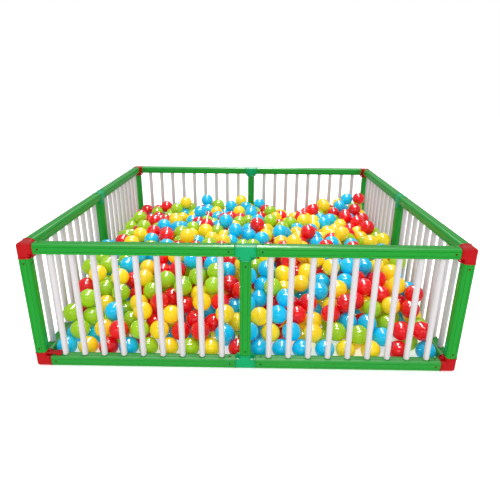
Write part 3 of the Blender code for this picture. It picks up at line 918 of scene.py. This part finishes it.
def balls_mesh(name, centres, rings, dice, material):
    """Balls of one colour as one mesh, each turned its own way and with its own shade."""
    sizes = settings("balls")
    radius = sizes.ball / 2
    points, faces = sphere_shape(rings)
    count = len(points)
    every_point = []
    every_face = []
    tints = []
    for place, centre in enumerate(centres):
        turn = random_turn(dice)
        every_point.append(points @ turn.T * radius + np.array(centre))
        start = place * count
        every_face.extend([tuple(start + k for k in face) for face in faces])
        tints.extend([dice.random()] * count)
    mesh = bpy.data.meshes.new(name)
    mesh.from_pydata(np.concatenate(every_point).tolist(), [], every_face)
    tint = mesh.attributes.new("tint", "FLOAT", "POINT")
    tint.data.foreach_set("value", np.array(tints, np.float32))
    seam = mesh.attributes.new("seam", "FLOAT", "POINT")
    heights = np.tile(points[:, 2], len(centres)).astype(np.float32)
    seam.data.foreach_set("value", heights)
    mesh.materials.append(material)
    mesh.shade_smooth()
    return mesh


class Heap:
    """Balls dropped into the pit one by one, each rolling down until it rests."""

    def __init__(self, loose):
        """An empty pit, with the places of the loose balls to be kept free."""
        self.sizes = settings("balls")
        self.loose = loose
        self.dice = random.Random(self.sizes.seed)
        self.reach = self.sizes.ball + self.sizes.gap
        self.columns = {}
        self.balls = []
        self.fixed = []

    def column_of(self, x, y):
        """The square of the floor that a place lies in."""
        return math.floor(x / self.reach), math.floor(y / self.reach)

    def near(self, x, y):
        """The centres of the balls that stand in the columns round a place."""
        i, j = self.column_of(x, y)
        found = []
        for a in range(i - NEAR_COLUMNS, i + NEAR_COLUMNS + 1):
            for b in range(j - NEAR_COLUMNS, j + NEAR_COLUMNS + 1):
                found.extend(self.columns.get((a, b), ()))
        return np.array(found).reshape(-1, 3)

    def is_out_of_the_way(self, centre):
        """Whether a ball there leaves the way up free for every loose ball."""
        return not any(
            centre[2] > z and math.hypot(centre[0] - x, centre[1] - y) < self.reach
            for x, y, z in self.loose
        )

    def add(self, centre):
        """Put a ball into the heap."""
        self.balls.append(centre)
        self.columns.setdefault(self.column_of(centre[0], centre[1]), []).append(centre)

    def surface(self, x, y):
        """Height of the heap, as the height of its uppermost balls' middles."""
        sizes = self.sizes
        rise = min(max((y + sizes.edge) / sizes.front_run, 0), 1)
        front = 1 - (1 - rise) ** 2
        across = x / sizes.edge
        behind = max(y / sizes.edge, 0)
        top = sizes.heap_height - sizes.side_drop * across ** 2 - sizes.back_drop * behind ** 2
        top += sizes.mound_rise * self.bell(x, y, MOUND_PLACE_SHARES, sizes.mound_spread)
        top -= sizes.dip_depth * self.bell(x, y, DIP_PLACE_SHARES, sizes.dip_spread)
        return sizes.front_height + front * (top - sizes.front_height)

    def bell(self, x, y, middle_shares, spread):
        """A smooth bump, one high at its middle and fading out round it."""
        apart = [a - share * self.sizes.edge for a, share in zip((x, y), middle_shares)]
        return math.exp(-(apart[0] ** 2 + apart[1] ** 2) / spread ** 2)

    def resting_height(self, spots, neighbours):
        """How high a ball's middle lies when it comes down at each of these places."""
        heights = np.full(len(spots), self.sizes.ball / 2)
        if len(neighbours) == 0:
            return heights
        gaps = spots[:, None, :] - neighbours[None, :, :2]
        room = self.reach ** 2 - (gaps ** 2).sum(2)
        tops = neighbours[None, :, 2] + np.sqrt(np.maximum(room, 0))
        tops = np.where(room > 0, tops, 0)
        return np.maximum(heights, tops.max(1))

    def drop(self, x, y):
        """Roll a ball downhill from a place until it rests. Gives its centre."""
        wall = self.sizes.wall
        step = self.reach / 4
        least_step = self.sizes.gap / 3
        home = (x, y)
        neighbours = self.near(x, y)
        spot = np.array([x, y])
        height = self.resting_height(spot[None, :], neighbours)[0]
        angles = np.arange(WAYS_DOWN) * (2 * math.pi / WAYS_DOWN)
        ways = np.stack([np.cos(angles), np.sin(angles)], 1)
        while step > least_step:
            trial = np.clip(spot + ways * step, -wall, wall)
            levels = self.resting_height(trial, neighbours)
            best = int(levels.argmin())
            if levels[best] < height - LEAST_DROP:
                spot = trial[best]
                height = levels[best]
                far = max(abs(spot[0] - home[0]), abs(spot[1] - home[1]))
                if far > HOME_REACH * self.reach:
                    home = (spot[0], spot[1])
                    neighbours = self.near(*home)
            else:
                step /= 2
        return float(spot[0]), float(spot[1]), float(height)

    def is_clear(self, centre, others):
        """Whether a ball there keeps off all of the others."""
        least = self.sizes.ball
        return all(math.dist(centre, other) >= least for other in others)

    def lay_front_row(self, count):
        """Lay a row of balls on the floor along the front, with uneven gaps between them."""
        sizes = self.sizes
        spare = 2 * sizes.wall - (count - 1) * self.reach
        cuts = sorted(self.dice.uniform(0, spare) for _ in range(count - 2))
        gaps = [high - low for low, high in zip([0, *cuts], [*cuts, spare])]
        x = -sizes.wall
        row = []
        for gap in [0, *gaps]:
            x += gap
            row.append((x, -sizes.wall, sizes.ball / 2))
            x += self.reach
        for centre in row:
            self.add(centre)
        return row

    def fill(self, give_up_after):
        """Drop balls at random until many in a row find no room under the heap's surface."""
        wall = self.sizes.wall
        failures = 0
        while failures < give_up_after:
            x = self.dice.uniform(-wall, wall)
            y = self.dice.uniform(-wall, wall)
            centre = self.drop(x, y)
            allowed = self.surface(centre[0], centre[1]) + OVER_SURFACE_SHARE * self.sizes.ball
            clear = self.is_clear(centre, self.fixed) and self.is_out_of_the_way(centre)
            if centre[2] <= allowed and clear:
                self.add(centre)
                failures = 0
            else:
                failures += 1

    def lay_crest(self):
        """Drop single balls along the top of the heap's back. Gives their colours."""
        wall = self.sizes.wall
        laid = {}
        for across, along, kind in CREST_SHARES:
            centre = self.drop(across * wall, along * wall)
            if self.is_out_of_the_way(centre):
                self.add(centre)
                laid[centre] = kind
        return laid

    def carriers(self, loose):
        """The balls that each loose ball lies on: four round it, a little lower."""
        half = self.sizes.carrier_pitch / 2
        rise = math.sqrt(self.reach ** 2 - 2 * half ** 2)
        found = []
        for x, y, z in loose:
            for across in (-half, half):
                for along in (-half, half):
                    place = (x + across, y + along, z - rise)
                    if self.is_clear(place, found):
                        found.append(place)
        return found


class BALLPIT_OT_stage(bpy.types.Operator):
    """Make the floor, the soft studio lights and the camera"""

    bl_idname = "ballpit.stage"
    bl_label = "Stage"

    def execute(self, context):
        stage = settings("stage")
        bm = bmesh.new()
        bmesh.ops.create_grid(bm, x_segments=1, y_segments=1, size=FLOOR_REACH)
        paint = floor_paint("floor", stage.floor, stage.floor_glow)
        floor = link_piece("floor", finish_mesh("floor", bm, paint))
        floor.visible_glossy = False
        self.add_camera(context, stage)
        self.add_lights(stage)
        self.add_sky(context, stage)
        context.scene.view_settings.view_transform = "Standard"
        return {"FINISHED"}

    def add_camera(self, context, stage):
        """The camera, at the photograph's place and angle."""
        data = bpy.data.cameras.new("camera")
        data.lens = stage.camera_lens
        data.sensor_width = SENSOR_MILLIMETRES
        data.clip_end = FAR_CLIP
        turn = Matrix.Rotation(-stage.camera_turn, 4, "Z")
        dip = Matrix.Rotation(math.radians(90) - stage.camera_dip, 4, "X")
        roll = Matrix.Rotation(stage.camera_roll, 4, "Z")
        matrix = Matrix.Translation(stage.camera_place) @ turn @ dip @ roll
        context.scene.camera = link_piece("camera", data, matrix)

    def add_light(self, name, size, power, place, target):
        """One soft rectangular light that faces a target."""
        data = bpy.data.lights.new(name, "AREA")
        data.shape = "RECTANGLE"
        data.size, data.size_y = size
        data.energy = power
        light = link_piece(name, data)
        light.location = place
        light.rotation_euler = (Vector(target) - Vector(place)).to_track_quat("-Z", "Y").to_euler()
        return light

    def add_lights(self, stage):
        """Two wide soft lights, and a long strip and two lamps that only show as highlights."""
        for table, lights_all in ((LIGHTS, True), (GLEAMS, False)):
            for name, power, size, place, target in table:
                light = self.add_light(name, size, getattr(stage, power), place, target)
                light.visible_diffuse = lights_all

    def add_sky(self, context, stage):
        """Even white light from all round, weaker where it shows in gloss."""
        world = bpy.data.worlds.new("studio")
        world.use_nodes = True
        background = world.node_tree.nodes["Background"]
        background.inputs["Color"].default_value = WHITE_LIGHT
        rays = world.node_tree.nodes.new("ShaderNodeLightPath")
        strength = world.node_tree.nodes.new("ShaderNodeMapRange")
        strength.inputs["To Min"].default_value = stage.sky
        strength.inputs["To Max"].default_value = stage.sky * stage.sky_gloss
        links = world.node_tree.links
        links.new(rays.outputs["Is Glossy Ray"], strength.inputs["Value"])
        links.new(strength.outputs["Result"], background.inputs["Strength"])
        context.scene.world = world


class BALLPIT_OT_rails(bpy.types.Operator):
    """Build the eight top rails and the eight bottom rails of square tube"""

    bl_idname = "ballpit.rails"
    bl_label = "Rails"

    def execute(self, context):
        sizes = settings("frame")
        meshes = {"top": rail_mesh("rail"), "bottom": rail_mesh("bottom_rail")}
        meshes["bottom"].materials[0] = plastic("scuffed green tube")
        for name, side, sign in sections():
            facing = side if sign < 0 else side @ quarter_turns(2, "Z")
            for level, height in zip(LEVELS, line_heights()):
                place = side @ Vector((sign * sizes.section / 2, -sizes.section, height))
                piece = link_piece(f"{level}_tube_{name}", meshes[level], placed(place, facing))
                node = f"top_rail_{name}" if level == "top" else f"barred_rail_{name}"
                stand(even_normals(piece), "frame", "green_tube", node)
        return {"FINISHED"}


class BALLPIT_OT_posts(bpy.types.Operator):
    """Build the four corner posts and the four middle posts"""

    bl_idname = "ballpit.posts"
    bl_label = "Posts"

    def execute(self, context):
        sizes = settings("frame")
        arms = settings("connectors")
        bottom, top = line_heights()
        upright = quarter_turns(1, "Y")
        meshes = {}
        for kind, arm in (("corner_post", arms.corner_arm), ("middle_post", arms.tee_stem)):
            half = (top - bottom) / 2 - arm - sizes.fit
            hole = half - sizes.hole_on_post
            meshes[kind] = tube_mesh(kind, -half, half, [-hole, hole])
        for turn, names in enumerate(zip(CORNERS, SIDES)):
            rotation = quarter_turns(turn, "Z")
            for (kind, mesh), name, x in zip(meshes.items(), names, (-sizes.section, 0)):
                place = rotation @ Vector((x, -sizes.section, (top + bottom) / 2))
                piece = link_piece(f"{kind}_tube_{name}", mesh, placed(place, rotation @ upright))
                stand(even_normals(piece), "frame", "green_tube", f"{kind}_{name}")
        return {"FINISHED"}


class BALLPIT_OT_bars(bpy.types.Operator):
    """Build the white bars, a row of them to each section"""

    bl_idname = "ballpit.bars"
    bl_label = "Bars"

    def execute(self, context):
        sizes = settings("frame")
        mesh = bars_mesh("bars")
        bottom = line_heights()[0]
        for name, side, sign in sections():
            place = side @ Vector((sign * sizes.section / 2, -sizes.section, bottom))
            piece = link_piece(f"bars_{name}", mesh, placed(place, side))
            stand(piece, "frame", "white_bars", f"barred_rail_{name}")
        return {"FINISHED"}


class BALLPIT_OT_corners(bpy.types.Operator):
    """Build the eight red corner connectors"""

    bl_idname = "ballpit.corners"
    bl_label = "Corners"

    def execute(self, context):
        plain = corner_mesh(has_tongue=False)
        with_tongue = corner_mesh(has_tongue=True)
        swap_arms = Matrix(((0, 1, 0), (1, 0, 0), (0, 0, -1)))
        for level, name, matrix in connector_places(CORNERS, -settings("frame").section, swap_arms):
            mesh = with_tongue if (level, name) == ("bottom", "front_left") else plain
            piece = link_piece(f"{level}_elbow_{name}", mesh, matrix)
            stand(even_normals(piece), "frame", "red_connector", f"{level}_corner_{name}")
        return {"FINISHED"}


class BALLPIT_OT_tees(bpy.types.Operator):
    """Build the eight green tees"""

    bl_idname = "ballpit.tees"
    bl_label = "Tees"

    def execute(self, context):
        mesh = tee_mesh()
        for level, name, matrix in connector_places(SIDES, 0, quarter_turns(2, "X")):
            piece = link_piece(f"{level}_junction_{name}", mesh, matrix)
            stand(even_normals(piece), "frame", "teal_tee", f"{level}_tee_{name}")
        return {"FINISHED"}


class BALLPIT_OT_balls(bpy.types.Operator):
    """Fill the pit with balls, and lay the loose ones on top"""

    bl_idname = "ballpit.balls"
    bl_label = "Balls"

    def execute(self, context):
        sizes = settings("balls")
        dice = random.Random(sizes.colour_seed)
        numbers = [f"{place + 1:02d}" for place in range(len(LOOSE_BALL_COLOURS))]
        boxes = [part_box(f"loose_ball_{digits}") for digits in numbers]
        loose = [tuple((low + high) / 2) for low, high in boxes]
        heap, given_colours = self.laid_heap(loose)
        kinds = {kind: [] for kind in BALL_COLOURS}
        for centre in heap.balls:
            if centre in loose:
                continue
            lean = centre[0] / sizes.wall
            weights = [share + lean * more for share, more in zip(COLOUR_SHARES, RIGHTWARD_SHARES)]
            kind = dice.choices(BALL_COLOURS, weights=weights)[0]
            kinds[given_colours.get(centre, kind)].append(centre)
        for kind, centres in kinds.items():
            mesh = balls_mesh(f"{kind}_balls", centres, sizes.rings, dice, plastic(f"{kind} ball"))
            stand(link_piece(f"{kind}_balls", mesh), "ball_heap", f"{kind}_ball", "ball_bed")
        for digits, kind, centre in zip(numbers, LOOSE_BALL_COLOURS, loose):
            finish = plastic(f"{kind} ball")
            mesh = balls_mesh(f"{kind}_ball", [(0, 0, 0)], 2 * sizes.rings, dice, finish)
            piece = link_piece(f"{kind}_ball_{digits}", mesh, Matrix.Translation(centre))
            stand(piece, f"ball_{digits}", f"{kind}_ball", f"loose_ball_{digits}")
        return {"FINISHED"}

    def laid_heap(self, loose):
        """The full heap round the loose balls, and the colours of its front row and its crest."""
        effort = 1
        heap = Heap(loose)
        front_row = heap.lay_front_row(len(FRONT_ROW_COLOURS))
        carriers = heap.carriers(loose)
        heap.fixed = [*loose, *carriers]
        heap.fill(FIRST_TRIES * effort)
        for centre in (*carriers, *loose):
            heap.add(centre)
        heap.fixed = []
        heap.fill(LAST_TRIES * effort)
        given_colours = dict(zip(front_row, FRONT_ROW_COLOURS))
        given_colours.update(heap.lay_crest())
        return heap, given_colours


class BALLPIT_PT_panel(bpy.types.Panel):
    """Lists what builds the ball pit"""

    bl_idname = "BALLPIT_PT_panel"
    bl_label = "Ball Pit"
    bl_space_type = "VIEW_3D"
    bl_region_type = "UI"
    bl_category = "Ball Pit"

    def draw(self, context):
        for operator in OPERATORS:
            self.layout.operator(operator.bl_idname)
        for group in GROUPS:
            box = self.layout.box()
            for key in GROUPS[group].__annotations__:
                box.prop(settings(group), key)


GROUPS = {
    "frame": FrameSizes,
    "connectors": ConnectorSizes,
    "balls": BallSizes,
    "colours": PlasticColours,
    "stage": StageSettings,
}
OPERATORS = [
    BALLPIT_OT_stage,
    BALLPIT_OT_rails,
    BALLPIT_OT_posts,
    BALLPIT_OT_bars,
    BALLPIT_OT_corners,
    BALLPIT_OT_tees,
    BALLPIT_OT_balls,
]


def register():
    """Add the settings, the operators and the panel."""
    for item in (*GROUPS.values(), *OPERATORS, BALLPIT_PT_panel):
        bpy.utils.register_class(item)
    for group, kind in GROUPS.items():
        pointer = bpy.props.PointerProperty(type=kind)
        setattr(bpy.types.Scene, f"ball_pit_{group}", pointer)


def unregister():
    """Take the settings, the operators and the panel away."""
    for group in GROUPS:
        delattr(bpy.types.Scene, f"ball_pit_{group}")
    for item in (BALLPIT_PT_panel, *reversed(OPERATORS), *GROUPS.values()):
        bpy.utils.unregister_class(item)


def main():
    """Build the whole pit."""
    register()
    bpy.ops.ballpit.stage()
    bpy.ops.ballpit.rails()
    bpy.ops.ballpit.posts()
    bpy.ops.ballpit.bars()
    bpy.ops.ballpit.corners()
    bpy.ops.ballpit.tees()
    bpy.ops.ballpit.balls()


if __name__ == "__main__":
    main()
